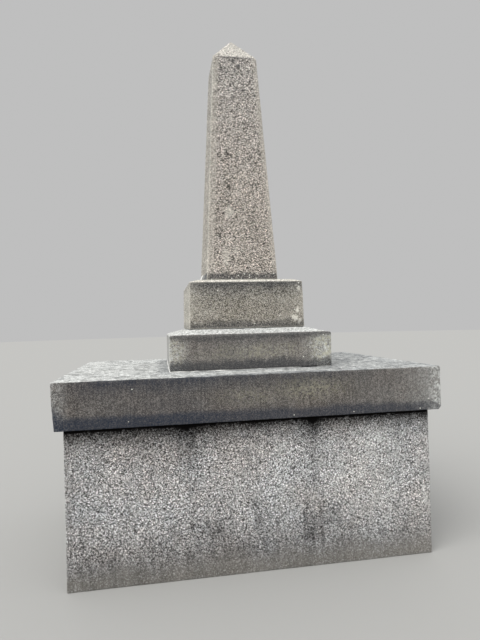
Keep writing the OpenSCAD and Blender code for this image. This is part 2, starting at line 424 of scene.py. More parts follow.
class Tree:
    """Short calls that add nodes to one material."""

    def __init__(self, name):
        self.material = bpy.data.materials.new(name)
        self.material.use_nodes = True
        self.tree = self.material.node_tree
        self.tree.nodes.clear()

    def add(self, kind, inputs=None, **options):
        """A node of this kind, with its options set and its inputs set or linked."""
        made = self.tree.nodes.new("ShaderNode" + kind)
        for key, value in options.items():
            setattr(made, key, value)
        for key, value in (inputs or {}).items():
            self.set(made.inputs[key], value)
        return made

    def set(self, socket, value):
        """Links an output to the socket, or sets the socket's own value."""
        if isinstance(value, bpy.types.NodeSocket):
            self.tree.links.new(value, socket)
        elif hasattr(value, "__len__"):
            socket.default_value = (*value, 1.0) if len(socket.default_value) == 4 else tuple(value)
        else:
            socket.default_value = value

    def math(self, operation, first, second=0.0, clamp=False):
        """One Math node's result."""
        return self.add("Math", {0: first, 1: second}, operation=operation, use_clamp=clamp).outputs[0]

    def mix(self, factor, first, second, blend="MIX"):
        """Two colours mixed by a factor."""
        return self.add("Mix", {0: factor, 6: first, 7: second}, data_type="RGBA",
                        blend_type=blend).outputs[2]

    def remap(self, value, low, high, new_low=0.0, new_high=1.0):
        """A value remapped from one range to another, clamped."""
        return self.add("MapRange", {"Value": value, "From Min": low, "From Max": high,
                                     "To Min": new_low, "To Max": new_high}).outputs[0]

    def noise(self, vector, scale, detail=2.0, roughness=0.5):
        """A noise texture's value, from 0 to 1."""
        return self.add("TexNoise", {"Vector": vector, "Scale": scale, "Detail": detail,
                                     "Roughness": roughness}).outputs[0]

    def mark(self, name):
        """One of the piece's own point attributes."""
        return self.add("Attribute", attribute_name=name).outputs["Fac"]

    def cells(self, vector, scale):
        """A Voronoi pattern: the distance from the cell's middle, and two random numbers a cell."""
        made = self.add("TexVoronoi", {"Vector": vector, "Scale": scale})
        parts = self.add("SeparateColor", {"Color": made.outputs["Color"]}).outputs
        return made.outputs["Distance"], parts[0], parts[1]

    def shade(self, tone, factor):
        """A colour made lighter or darker by a factor."""
        grey = self.add("CombineColor", {0: factor, 1: factor, 2: factor}).outputs[0]
        return self.mix(1.0, tone, grey, "MULTIPLY")

    def lay(self, stone, mark, cover, laid):
        """A colour laid over the stone, as strongly as its mark times how the cover is broken up."""
        return self.mix(self.math("MULTIPLY", self.mark(mark), cover, clamp=True), stone, laid)

    def finish(self, surface):
        """Ends the material with this surface, and returns it."""
        out = self.add("OutputMaterial")
        self.tree.links.new(surface.outputs[0], out.inputs[0])
        return self.material


def fresh_granite(tree, where, part, pale, grain, contrast, flat=1.0, pitch=0.012, peck=0.0,
                  share=0.0, cool=None):
    """Granite as the tool left it.

    Two Voronoi patterns, one about twice as fine, give each crystal of about a grain's size a random
    number. Their blend picks between the part's dark, grey and pale colours, the more sharply the
    more contrast there is, and a second random number tints the crystal. Flat is how many times
    wider than high the crystals are, and share how much commoner the pale ones are. A third Voronoi
    pattern of this pitch darkens the stone away from its cells' middles by peck, like hollows pecked
    by a tool. Broad noise turns the stone from warm to cool; cool is the pair of heights between
    which it does so upward as well. The smooth mark turns the stone to its plain grey. The coarse
    mark makes pale crystals commoner, and mixes in flecks of the washed colour.

    Returns the colour, the blend of random numbers and the light and dark of the hollows."""
    look = settings("colours")
    light, mid, dark = (getattr(look, part + "_" + kind) for kind in ("light", "mid", "dark"))
    wobble = tree.add("TexNoise", {"Vector": where, "Scale": 0.9 / grain, "Detail": 1.0})
    shift = tree.add("VectorMath", {0: wobble.outputs["Color"], "Scale": 0.35 * grain},
                     operation="SCALE").outputs[0]
    bent = tree.add("VectorMath", {0: where, 1: shift}, operation="ADD").outputs[0]
    laid = tree.add("Mapping", {"Vector": bent, "Scale": (1.0, 1.0, flat)}).outputs[0]
    _, coarse, hue = tree.cells(laid, 1 / grain)
    _, fine, _ = tree.cells(laid, 2.1 / grain)
    pick = tree.math("ADD", tree.math("MULTIPLY", coarse, 0.62), tree.math("MULTIPLY", fine, 0.38))
    paler = tree.math("ADD", pick, tree.math("MULTIPLY", tree.mark("coarse"), 0.1))
    middle, spread_out = 0.5 - share, 0.4 / contrast
    stops = tree.add("ValToRGB", {"Fac": tree.remap(paler, middle - spread_out, middle + spread_out)})
    ends = stops.color_ramp.elements
    ends[0].position, ends[0].color = 0.0, (*dark, 1.0)
    ends[1].position, ends[1].color = 1.0, (*light, 1.0)
    ends.new(0.5).color = (*mid, 1.0)
    tint = tree.mix(hue, (1.03, 0.985, 0.985), (0.975, 1.005, 1.03))
    stone = tree.mix(1.0, stops.outputs[0], tint, "MULTIPLY")

    hollows, lump, _ = tree.cells(laid, 1 / pitch)
    stone = tree.shade(stone, tree.remap(hollows, 0.1, 0.82, 1 + 0.75 * peck, 1 - 1.1 * peck))
    grit = tree.remap(hollows, 0.1, 0.82, 1.3, 0.7)
    drift = tree.remap(tree.noise(where, 3.2, 3.0, 0.6), 0.36, 0.64)
    if cool:
        level = tree.add("SeparateXYZ", {"Vector": where}).outputs[2]
        drift = tree.mix(0.8, drift, tree.remap(level, *cool))
    warmth = tree.mix(drift, (1.025, 0.995, 0.975), (0.98, 1.0, 1.02))
    stone = tree.mix(1.0, stone, warmth, "MULTIPLY")
    stone = tree.mix(tree.math("MULTIPLY", tree.mark("smooth"), 0.75), stone, mid)
    fleck = tree.math("ADD", tree.math("MULTIPLY", pick, 0.5), tree.math("MULTIPLY", lump, 0.5))
    flecked = tree.shade(tree.mix(tree.remap(fleck, 0.45, 0.56), stone, pale), grit)
    return tree.mix(tree.mark("coarse"), stone, flecked), pick, grit


def granite(part, soot, pale, grain, weather=60.0, streak=0.0, bump=0.0012, **fresh):
    """Weathered granite: fresh granite, clouded and streaked, and overlaid in turn by its marks.

    Earth, lichen, the pale wash, soot with the painted shade laid into its mark, and the arrises' wear
    with a painted highlight lie as strongly as their marks, broken up by noise. Soot past 0.85 closes up.
    Where the top mark passes a ragged half, the stone turns speckled and pale, worn in patches of the
    weather noise; on the left faces of the die and the shaft this paints them paler, as lit from the left.
    Dots are round cells of a Voronoi pattern, and their mark is the share of cells that hold one. Streak
    is the strength of streaks drawn down the face, and bump the height of the fine relief."""
    tree = Tree(part + "_granite")
    look = settings("colours")
    where = tree.add("TexCoord").outputs["Object"]
    stone, pick, grit = fresh_granite(tree, where, part, pale, grain, **fresh)
    stone = tree.shade(stone, tree.remap(tree.noise(where, 5.0, 4.0, 0.6), 0.3, 0.7, 0.9, 1.1))
    if streak:
        drawn = tree.add("Mapping", {"Vector": where, "Scale": (1.0, 1.0, 0.05)}).outputs[0]
        lines = tree.remap(tree.noise(drawn, 90.0, 3.0, 0.6), 0.34, 0.66, 1 - streak, 1 + streak)
        stone = tree.shade(stone, lines)

    broken = tree.remap(tree.noise(where, 105.0, 3.0, 0.6), 0.3, 0.7, 0.6, 1.2)
    blotch = tree.remap(tree.noise(where, 70.0, 4.0, 0.65), 0.42, 0.6)
    stone = tree.lay(stone, "earth", broken, look.earth)
    stone = tree.lay(stone, "lichen", blotch, look.lichen)
    stone = tree.lay(stone, "pale", broken, pale)
    ragged = tree.math("ADD", tree.mark("top"), tree.remap(broken, 0.6, 1.2, -0.3, 0.3))
    speckled = tree.shade(tree.mix(0.35, pale, stone), grit)
    worn = tree.remap(tree.noise(where, weather, 6.0, 0.8), 0.38, 0.56, 0.5, 1.42)
    stone = tree.mix(tree.remap(ragged, 0.4, 0.6), stone, tree.shade(speckled, worn))
    # Growth and painted shade: the soot mark turns the stone to the soot colour, fully past 0.85
    growth_and_shade = tree.math("MULTIPLY", tree.mark("soot"), broken, clamp=True)
    growth_and_shade = tree.math("MAXIMUM", growth_and_shade, tree.remap(tree.mark("soot"), 0.85, 1.0))
    stone = tree.mix(growth_and_shade, stone, soot)
    # The edge mark paints the arrises paler: their wear, and a painted highlight where they catch the light
    stone = tree.lay(stone, "edge", broken, pale)
    away, chosen, _ = tree.cells(where, 85.0)
    picked = tree.math("LESS_THAN", chosen, tree.mark("dots"))
    spot = tree.remap(away, 0.42, 0.3)
    stone = tree.mix(tree.math("MULTIPLY", picked, spot), stone, look.dots)

    relief = tree.math("ADD", tree.math("MULTIPLY", pick, 0.5), tree.noise(where, 1.6 / grain, 2.0))
    dents = tree.add("Bump", {"Height": relief, "Strength": 1.0, "Distance": bump}).outputs[0]
    return tree.finish(tree.add("BsdfPrincipled", {
        "Base Color": stone, "Roughness": tree.remap(pick, 0.2, 0.8, 0.96, 0.8), "Normal": dents,
        "Specular IOR Level": tree.remap(growth_and_shade, 0.3, 1.0, 0.25, 0.04)}))


def mortar():
    """Lime mortar: pale and sandy, with darker grains and dull patches, darkened by its soot mark with grime
    and, in some places, painted shade.
    """
    tree = Tree("lime_mortar")
    look = settings("colours")
    where = tree.add("TexCoord").outputs["Object"]
    _, grains, _ = tree.cells(where, 420.0)
    patch = tree.remap(tree.noise(where, 38.0, 4.0, 0.6), 0.35, 0.65)
    base = tree.mix(tree.remap(grains, 0.5, 1.0, 0.0, 0.3), look.mortar, look.earth)
    stone = tree.mix(tree.math("MULTIPLY", patch, 0.3), base, look.earth)
    stone = tree.mix(tree.mark("soot"), stone, look.soot)
    height = tree.math("ADD", grains, patch)
    dents = tree.add("Bump", {"Height": height, "Strength": 0.8, "Distance": 0.001}).outputs[0]
    return tree.finish(tree.add("BsdfPrincipled", {
        "Base Color": stone, "Roughness": 0.95, "Normal": dents, "Specular IOR Level": 0.2}))


def bell(values, middle, half):
    """1 at the middle, and falling to both sides as a bell of this half-width."""
    return np.exp(-((values - middle) / half) ** 2)


def most(*layers):
    """The greatest of several layers at each point."""
    return functools.reduce(np.maximum, layers)


def drips(along, drop, marks):
    """Stains that run down a face. Each narrows from the blob at its head to its own width, and
    fades as it runs. A mark is its place along the face, its half-width, how far it runs, its
    strength and the half-width of its head."""
    total = np.zeros(len(along))
    for middle, half, run, strength, head in marks:
        width = half + (head - half) * np.exp(-drop / (0.6 * head))
        total = np.maximum(total, strength * np.exp(-((along - middle) / width) ** 2 - drop / run))
    return total


def patches(along, z, marks):
    """Soft oval patches on a face, which fade outward as a bell. Each is its place along the face,
    its height, its half-width and half-height, and its strength."""
    total = np.zeros(len(along))
    for u, v, wide, tall, strength in marks:
        away = ((along - u) / wide) ** 2 + ((z - v) / tall) ** 2
        total = np.maximum(total, strength * np.exp(-away))
    return total


def shaken(points, size, reach, seed):
    """The points moved each way by noise of this size, up to a reach, so that what is laid by them
    gets a ragged rim."""
    return points + reach * np.stack([noise(points, size, seed + k) for k in (21, 25, 27)], axis=1)


# Stains from the overhang: place along the face, half-width, run, strength, half-width of the head
CHEST_DRIPS = {
    "front": ((-0.42, 0.06, 0.16, 1.25, 0.15), (-0.407, 0.03, 0.6, 0.36, 0.03),
              (0.35, 0.045, 0.11, 1.5, 0.1), (0.345, 0.03, 0.55, 0.36, 0.035),
              (-0.63, 0.17, 0.14, 0.36, 0.25), (-0.05, 0.03, 0.25, 0.28, 0.04), (-0.2, 0.03, 0.1, 0.3, 0.05),
              (0.62, 0.05, 0.06, 0.1, 0.08), (0.895, 0.024, 1.2, 0.12, 0.03)),
    "back": ((-0.66, 0.04, 0.2, 0.9, 0.1), (0.12, 0.035, 0.14, 0.8, 0.09),
             (0.74, 0.045, 0.18, 0.9, 0.11), (0.7, 0.02, 0.6, 0.3, 0.02)),
    "left": ((-0.22, 0.04, 0.17, 0.8, 0.1), (0.35, 0.03, 0.12, 0.6, 0.08)),
    "right": ((0.08, 0.04, 0.18, 0.9, 0.1), (-0.38, 0.03, 0.1, 0.5, 0.07)),
}
# Damp growth: place along the face, height, half-width, half-height and strength
CHEST_DAMP = {
    "front": ((-0.26, 0.26, 0.11, 0.1, 0.44), (-0.325, 0.28, 0.03, 0.13, 0.4),
              (-0.245, 0.27, 0.03, 0.13, 0.5), (-0.17, 0.27, 0.024, 0.12, 0.4),
              (-0.005, 0.41, 0.03, 0.05, 0.4), (-0.005, 0.27, 0.032, 0.13, 0.4),
              (0.375, 0.24, 0.15, 0.14, 0.58), (0.29, 0.28, 0.03, 0.15, 0.46), (0.38, 0.29, 0.036, 0.15, 0.6),
              (0.455, 0.27, 0.03, 0.12, 0.5), (-1.03, 0.25, 0.03, 0.15, 0.42), (0.893, 0.27, 0.03, 0.15, 0.3),
              (-0.52, 0.24, 0.08, 0.1, 0.42), (-0.68, 0.22, 0.05, 0.08, 0.36), (0.13, 0.22, 0.1, 0.1, 0.46),
              (-0.4, 0.28, 0.035, 0.1, 0.52), (0.92, 0.17, 0.05, 0.07, 0.4), (-1.09, 0.4, 0.05, 0.35, 0.2),
              (0.34, 0.19, 0.12, 0.07, 0.8), (0.0, 0.3, 0.04, 0.06, 0.5), (0.27, 0.63, 0.03, 0.06, 0.14),
              (0.28, 0.4, 0.04, 0.06, 0.22), (-0.4, 0.42, 0.04, 0.06, 0.2), (-0.79, 0.4, 0.06, 0.05, 0.16),
              (1.06, 0.52, 0.05, 0.06, 0.2)),
    "back": ((-0.7, 0.25, 0.1, 0.14, 0.5), (-0.1, 0.2, 0.07, 0.12, 0.44), (0.55, 0.24, 0.14, 0.14, 0.5),
             (0.2, 0.15, 0.3, 0.07, 0.3)),
    "left": ((-0.3, 0.22, 0.1, 0.13, 0.45), (0.25, 0.2, 0.12, 0.12, 0.45)),
    "right": ((-0.1, 0.24, 0.12, 0.14, 0.45), (0.4, 0.25, 0.06, 0.2, 0.45)),
}
# Cleaner, paler stone, given in the same way
CHEST_PALE = {
    "front": ((0.62, 0.52, 0.25, 0.28, 0.26), (0.8, 0.5, 0.16, 0.3, 0.36), (1.07, 0.33, 0.06, 0.2, 0.4),
              (0.79, 0.75, 0.17, 0.09, 0.7), (-0.13, 0.51, 0.06, 0.06, 0.4), (0.82, 0.28, 0.28, 0.07, 0.3),
              (0.13, 0.75, 0.05, 0.08, 0.5), (0.14, 0.42, 0.05, 0.06, 0.36), (0.39, 0.63, 0.05, 0.06, 0.3),
              (0.14, 0.5, 0.07, 0.2, 0.2), (0.0, 0.7, 0.1, 0.1, 0.1), (-0.4, 0.89, 0.025, 0.012, 0.8)),
    "back": ((-0.3, 0.5, 0.25, 0.26, 0.2), (0.3, 0.55, 0.2, 0.25, 0.2)),
    "left": ((0.0, 0.5, 0.3, 0.3, 0.2),),
    "right": ((0.1, 0.5, 0.3, 0.3, 0.1),),
}


# Spacing of the grids where it isn't the shared one. The shaft's is given along x, y and z
SLAB_DEPTH_STEP = 0.02
CAP_STEP = 0.0092
DIE_STEP = 0.0062
SHAFT_STEPS = (0.0076, 0.0076, 0.0056)
# Soft patches on the front faces: place across, height, half-width, half-height and strength
CAP_DIM = ((-0.5, 1.04, 0.32, 0.07, 0.26),)
CAP_LICHEN = ((0.32, 1.1, 0.2, 0.06, 0.5), (-0.05, 1.07, 0.2, 0.05, 0.25))
PLINTH_WARM = ((0.27, 1.32, 0.09, 0.06, 1.0),)
PLINTH_DIM = ((0.39, 1.26, 0.05, 0.03, 0.4), (-0.15, 1.26, 0.09, 0.02, 0.2))
DIE_DIM = ((-0.05, 1.74, 0.16, 0.06, 0.5), (0.1, 1.49, 0.08, 0.02, 0.7))
DIE_WASHED = ((0.33, 1.57, 0.1, 0.06, 0.16), (-0.28, 1.57, 0.1, 0.04, 0.18),
              (0.27, 1.53, 0.05, 0.04, 0.2), (0.28, 1.65, 0.05, 0.03, 0.2))
DIE_LICHEN = ((0.385, 1.732, 0.013, 0.014, 1.6), (0.37, 1.755, 0.009, 0.008, 1.1),
              (0.372, 1.585, 0.014, 0.02, 1.1), (0.352, 1.53, 0.02, 0.022, 1.6),
              (0.385, 1.51, 0.012, 0.022, 1.3), (-0.335, 1.51, 0.01, 0.01, 1.2))
SHAFT_PITS = ((0.005, 3.41, 0.028, 0.006, 0.8), (0.045, 3.375, 0.02, 0.007, 0.9),
              (-0.045, 3.322, 0.018, 0.008, 0.9), (-0.128, 3.171, 0.016, 0.008, 0.9),
              (-0.09, 3.335, 0.03, 0.005, 0.5), (0.06, 3.19, 0.02, 0.006, 0.6))
SHAFT_LICHEN = ((-0.065, 2.29, 0.035, 0.06, 1.0), (-0.095, 1.97, 0.03, 0.08, 0.9),
                (-0.02, 2.02, 0.02, 0.05, 0.7), (-0.13, 3.25, 0.02, 0.1, 0.8))
# Scoops at the first three of the shaft's pits: the y of their middles at one height, how much
# further forward they lie for each metre above it, and their radius
SCOOP_Y, SCOOP_Z, SCOOP_LEAN, SCOOP_RADIUS = -0.117, 3.171, 0.0589, 0.013
# Broken corners: the corner's three signs, the step from it to the chip's middle, and the radius
CAP_BREAKS = (((1, -1, -1), (0.034, -0.03, -0.034), 0.073), ((-1, 1, 1), (-0.05, 0.05, 0.01), 0.11),
              ((1, -1, 1), (0.03, -0.02, 0.035), 0.058))
SHAFT_BREAKS = (((-1, 1, -1), (-0.012, 0.012, 0.09), 0.045),)


def broken_corners(low, high, breaks):
    """The chips that break a box's corners."""
    return [(np.where(np.array(signs) > 0, high, low) + step, radius)
            for signs, step, radius in breaks]


def leaning_box(low, high, faces):
    """The planes of a box's two level sides and of these other faces."""
    normals, offsets = with_planes(box_planes(low, high), faces)
    keep = [2, 5] + list(range(6, len(normals)))
    return normals[keep], offsets[keep]


def box_chips(low, high, each, sizes, rng):
    """Chips along the upright arrises and then the lower and the upper arrises of a box, so many to a
    metre and with radii between these two sizes."""
    (x0, y0, z0), (x1, y1, z1) = low, high
    sides_x, sides_y = ((x0, -1), (x1, 1)), ((y0, -1), (y1, 1))
    chips = []
    for (x, sx), (y, sy) in itertools.product(sides_x, sides_y):
        chips += arris_chips((x, y, z0), (x, y, z1), (sx, sy, 0), each, sizes, rng)
    for z, sz in ((z0, -1), (z1, 1)):
        for x, sx in sides_x:
            chips += arris_chips((x, y0, z), (x, y1, z), (sx, 0, sz), each, sizes, rng)
        for y, sy in sides_y:
            chips += arris_chips((x0, y, z), (x1, y, z), (0, sy, sz), each, sizes, rng)
    return chips


def chest_marks(stone, side, wide):
    """The marks of one slab: stains under the cap, a painted shade that darkens the slab's top below the
    cap's overhang, damp growth that fades upward in soft columns, earth on the foot, and coarser crystals
    where the stone is cleaner. Returns them, and the margins along the upright arrises, which are 1
    inside and 0 outside."""
    shape = settings("shape")
    rest, seed = stone.rest, stone.seed
    along, z = rest[:, wide], rest[:, 2]
    drop = stone.high[2] - z
    drawn = rest * (1, 1, 0.15)
    jitter = 0.02 * noise(drawn, 0.03, seed + 13)
    soot = drips(along + jitter, drop, CHEST_DRIPS[side])
    soot = soot * (1 - 0.25 * ramp(rough(rest, 0.04, 2, seed + 19), 0.0, 0.6))
    # Painted shade under the cap's overhang: nearly black near the top, fading downward, longer to the left
    fade = 0.065 + 0.014 * ramp(along, 0.1, -0.3) - 0.008 * bell(along, 0.65, 0.15)
    shade = np.exp(-np.clip(drop - 0.015 + jitter / 3, 0, 1) / fade)
    soot = 1 - (1 - soot) * (1 - np.clip(shade, 0, 1))
    columns = 1 + 0.45 * noise(drawn, 0.022, seed + 17) + 0.3 * noise(drawn, 0.07, seed + 18)
    damp = patches(along + jitter, z, CHEST_DAMP[side])
    low = 0.5 * ramp(z + 0.06 * noise(drawn, 0.16, seed + 14), 0.4, 0.12)
    low = low * (1 - 0.5 * ramp(along, 0.5, 0.8))
    soot = most(soot, most(damp, low) * columns)
    wave = 0.025 * noise(rest, 0.16, seed + 23)
    foot = ramp(z + wave, shape.splash_h + 0.07, shape.splash_h - 0.05)
    earth = 0.75 * ramp(z + 2 * wave, shape.splash_h + 0.02, shape.splash_h - 0.12)
    pale = patches(along, z, CHEST_PALE[side]) + 0.1 * rough(rest, 0.25, 2, seed + 29)
    arris = side_distance(rest, stone.planes, BOX_SIDES) + 0.006 * noise(rest, 0.03, seed + 3)
    margin = ramp(arris, shape.margin_w + 0.005, shape.margin_w - 0.005)
    soot = soot * (1 - 0.6 * earth)
    marks = {
        "soot": soot,
        "earth": earth,
        "coarse": pale * (1 - earth) * (1 - soot),
        "smooth": most(0.2 * margin, 0.5 * foot),
    }
    return marks, margin


def chest_stone(node, side, wide, outer, seed, material):
    """One upright slab. Side is where it looks, wide the axis of its width (0 or 1), and outer the
    sign of its outer face along the other axis. The end slabs stand between the front and the back
    one, so their upright arrises aren't chipped or paler, and are hammered like the face."""
    shape = settings("shape")
    across = 1 - wide
    between = node.endswith("end_slab")
    steps = [shape.grid] * 3
    steps[across] = SLAB_DEPTH_STEP
    inner = ("-" if outer > 0 else "+") + "xyz"[across]
    plain = {inner: 2, "-z": 2, "+z": 3}
    if between:
        plain.update({"-y": 2, "+y": 2})
    stone = Stone(node, seed, steps, plain)
    rest, low, high = stone.rest, stone.low, stone.high
    front = (high if outer > 0 else low)[across]
    on_face = ramp(outer * (rest[:, across] - front), -0.06, -0.01)
    radius = shape.arris * (0.3 + 0.3 * on_face) * (1.0 + 0.4 * noise(rest, 0.09, seed))
    stone.wear(box_planes(low, high), radius)
    if not between:
        for end, way in ((low[wide], -1), (high[wide], 1)):
            corner, direction = np.zeros(3), np.zeros(3)
            corner[wide], corner[across] = end, front
            direction[wide], direction[across] = way, outer
            foot, head = corner + (0, 0, low[2]), corner + (0, 0, high[2])
            stone.chip(arris_chips(foot, head, direction, 12, (0.005, 0.016), stone.rng))
    marks, margin = chest_marks(stone, side, wide)
    # Paler arrises: wear and a painted highlight
    marks["edge"] = 0.0 if between else 0.12 * stone.edge * (1 - marks["soot"])
    hammered = (1 - 0.72 * (0 if between else margin)) * (1 - 0.5 * marks["smooth"])
    depth = 0.0012 * swell(rest, 0.34, 2, seed + 5)
    depth += hammered * 0.0007 * swell(rest, 0.0095, 2, seed + 7)
    depth += hammered * 0.001 * pits(rest, 0.024, 0.4, seed + 11)
    stone.cut((0.25 + 0.75 * on_face) * depth - on_face * shape.lift)
    stone.points[:, 2] = np.maximum(stone.points[:, 2], low[2])
    stone.dress(node + "_stone", marks, "granite_chest", material)


class OBELISK_OT_chest(bpy.types.Operator):
    """Dresses the four upright slabs of the chest"""

    bl_idname = "obelisk.chest"
    bl_label = "Chest Slabs"

    def execute(self, context):
        look = settings("colours")
        material = granite("chest", look.chest_soot_and_shade, look.pale, grain=0.004, contrast=4.0, streak=0.05,
                           pitch=0.0115, peck=0.54, share=0.036)
        slabs = (("front_slab", "front", 0, -1, 100), ("back_slab", "back", 0, 1, 200),
                 ("left_end_slab", "left", 1, -1, 300), ("right_end_slab", "right", 1, 1, 400))
        for slab in slabs:
            chest_stone(*slab, material)
        return {"FINISHED"}


def cap_relief(stone):
    """How deep the cap's surface lies: broad and fine swells, and on top coarser ones and pits, with
    the top lifted by a little more than their mean depth."""
    rest, seed = stone.rest, stone.seed
    on_top = ramp(stone.outward[:, 2], 0.6, 0.95)
    depth = 0.001 * swell(rest, 0.4, 2, seed + 5) + 0.0014 * swell(rest, 0.019, 2, seed + 7)
    depth += on_top * 0.0022 * swell(rest, 0.04, 3, seed + 9)
    depth += on_top * (0.005 * pits(rest, 0.05, 0.3, seed + 11) - 0.0035)
    return depth


def cap_soot_and_shade(stone, up, height, wave, band):
    """Soot on the cap, and painted shade: the band along its foot, a brow below its top that thins to the
    right, and a dark corner at the left of its foot. On top, a painted shadow of the stack that deepens
    to the right, and darker stone round the plinth and along the front arris."""
    rest, seed, low = stone.rest, stone.seed, stone.low
    x = rest[:, 0]
    west = ramp(x, 0.0, -0.5)
    fine = 0.25 * noise(rest * (1, 1, 0.2), 0.014, seed + 18)
    brow = ramp(height + 1.6 * wave, 0.45, 1.0) * (0.38 + 0.2 * west + fine)
    brow = most(brow, ramp(height + wave, 0.7, 0.94) * (0.5 + 0.16 * west + fine))
    brow = most(brow * (1 - 0.9 * ramp(x, 0.3, 0.8)), patches(x, rest[:, 2], CAP_DIM))
    soot = most(band, brow) * (1 - up)
    soot = soot * (1 - 0.75 * ramp(x, low[0] + 0.26, low[0] + 0.06) * ramp(height, 0.3, 0.5))
    corner = ramp(height + (x - low[0]) / 0.3, 0.7, 0.3)
    soot = most(soot, 0.95 * corner * (1 - up))
    # Painted shadow of the stack on the cap's top, deeper to the right, laid into the soot mark
    shaded = 0.08 + 0.3 * ramp(x, 0.2, 0.6)
    soot += up * shaded * (1 + rough(rest * (1, 0.6, 1), 0.03, 3, seed + 17))
    foot_low, foot_high = corners("plinth_bed")
    beside = np.maximum(foot_low - rest, rest - foot_high)[:, :2].max(axis=1)
    beside = beside + 0.02 * noise(rest, 0.05, seed + 21)
    over = rest[:, 1] - low[1] + 0.012 * noise(rest, 0.06, seed + 22)
    over = ramp(over, 0.06, 0.03) * ramp(np.abs(x - 0.03), 0.62, 0.35)
    return most(soot, up * most(0.5 * ramp(beside, 0.16, 0.0), 0.62 * over))


def cap_marks(stone):
    """The cap's marks: its growth, painted shade on its underside and top, the washed top, paler and
    coarser ends, thin lichen on its front, and dots of white lichen along the foot and at the lower
    right corner."""
    rest, seed, low, high = stone.rest, stone.seed, stone.low, stone.high
    x = rest[:, 0]
    drawn = rest * (1, 1, 0.2)
    up = ramp(stone.outward[:, 2] + 0.1 * rough(rest, 0.03, 2, seed + 15), 0.55, 0.92)
    under = ramp(stone.outward[:, 2], -0.3, -0.7)
    height = (rest[:, 2] - low[2]) / (high[2] - low[2])
    wave = 0.02 * noise(drawn, 0.04, seed + 13) + 0.03 * noise(drawn, 0.26, seed + 14)
    arris = side_distance(rest, stone.planes, BOX_SIDES) + 0.02 * noise(rest, 0.05, seed + 16)
    left = ramp(x, low[0] + 0.11, low[0] + 0.04)
    west = ramp(x, 0.0, -0.5)
    fade = ramp(x, high[0] - 0.6, high[0] - 0.03) ** 2
    right = ramp(x, high[0] - 0.3, high[0] - 0.02) ** 2
    ends = ramp(arris, 0.115, 0.03) * (1 - up) * (1 - under)
    band = ramp(height + wave - 0.04 * west, 0.3, 0.15) * (0.7 + 0.16 * west - 0.3 * right)
    soot = cap_soot_and_shade(stone, up, height, wave, band)
    washed = 0.14 * right + 0.06 * fade + 0.1 * left + 0.04 * ramp(x, 0.5, 0.7)
    along_foot = 0.03 * bell(height + wave, 0.06, 0.05) * ramp(x, -0.3, 0.2)
    dotted = 0.0004 + along_foot + 0.2 * (right * ramp(height, 0.5, 0.2))
    return {
        # The underside is painted dark with the soot colour, as the shade under the overhang
        "soot": most(soot, 0.9 * under),
        "top": up,
        "lichen": patches(x, rest[:, 2], CAP_LICHEN) * (1 - up),
        # Paler arrises: wear and a painted highlight
        "edge": (0.06 + 0.14 * ends) * stone.edge * (1 - band) * (1 - under),
        "pale": washed * (1 - 0.8 * band) * (1 - under),
        "smooth": 0.4 * (1 - ends) * (1 - up),
        "coarse": most(ends * (0.3 + 0.35 * right), 0.16 * fade * (1 - up)),
        "dots": dotted * (1 - under) * (1 - up),
    }


class OBELISK_OT_cap(bpy.types.Operator):
    """Dresses the overhanging cap slab"""

    bl_idname = "obelisk.cap"
    bl_label = "Cap Slab"

    def execute(self, context):
        shape = settings("shape")
        look = settings("colours")
        stone = Stone("cap_slab", 500, [CAP_STEP] * 3, {"-z": 13})
        low, high, rest = stone.low, stone.high, stone.rest
        drawn_end = ((shape.end_upright - (high[2] - low[2]), 0, -shape.end_draw),
                     (low[0], 0, high[2] - shape.end_upright))
        left = ramp(rest[:, 0], low[0] + 0.11, low[0] + 0.04)
        radius = shape.arris * (0.62 + 0.2 * noise(rest, 0.08, stone.seed)) * (1 - 0.5 * left)
        stone.wear(with_planes(box_planes(low, high), [drawn_end]), radius)
        stone.chip(box_chips(low, high, 9, (0.006, 0.016), stone.rng))
        stone.chip(broken_corners(low, high, CAP_BREAKS))
        stone.cut(cap_relief(stone))
        material = granite("cap", look.cap_soot_and_shade, look.pale, grain=0.0042, contrast=1.3, streak=0.2,
                           weather=18.0)
        stone.dress("cap_slab_stone", cap_marks(stone), "granite_cap", material)
        return {"FINISHED"}


def plinth_relief(stone):
    """How deep the plinth's surface lies: broad and fine swells, with pits on its wash, and all of it
    lifted by the shared lift."""
    rest, seed = stone.rest, stone.seed
    on_top = ramp(stone.outward[:, 2], 0.5, 0.9)
    depth = 0.001 * swell(rest, 0.3, 2, seed + 5) + 0.001 * swell(rest, 0.0125, 2, seed + 7)
    depth += on_top * 0.0025 * pits(rest, 0.04, 0.3, seed + 11) - settings("shape").lift
    return depth


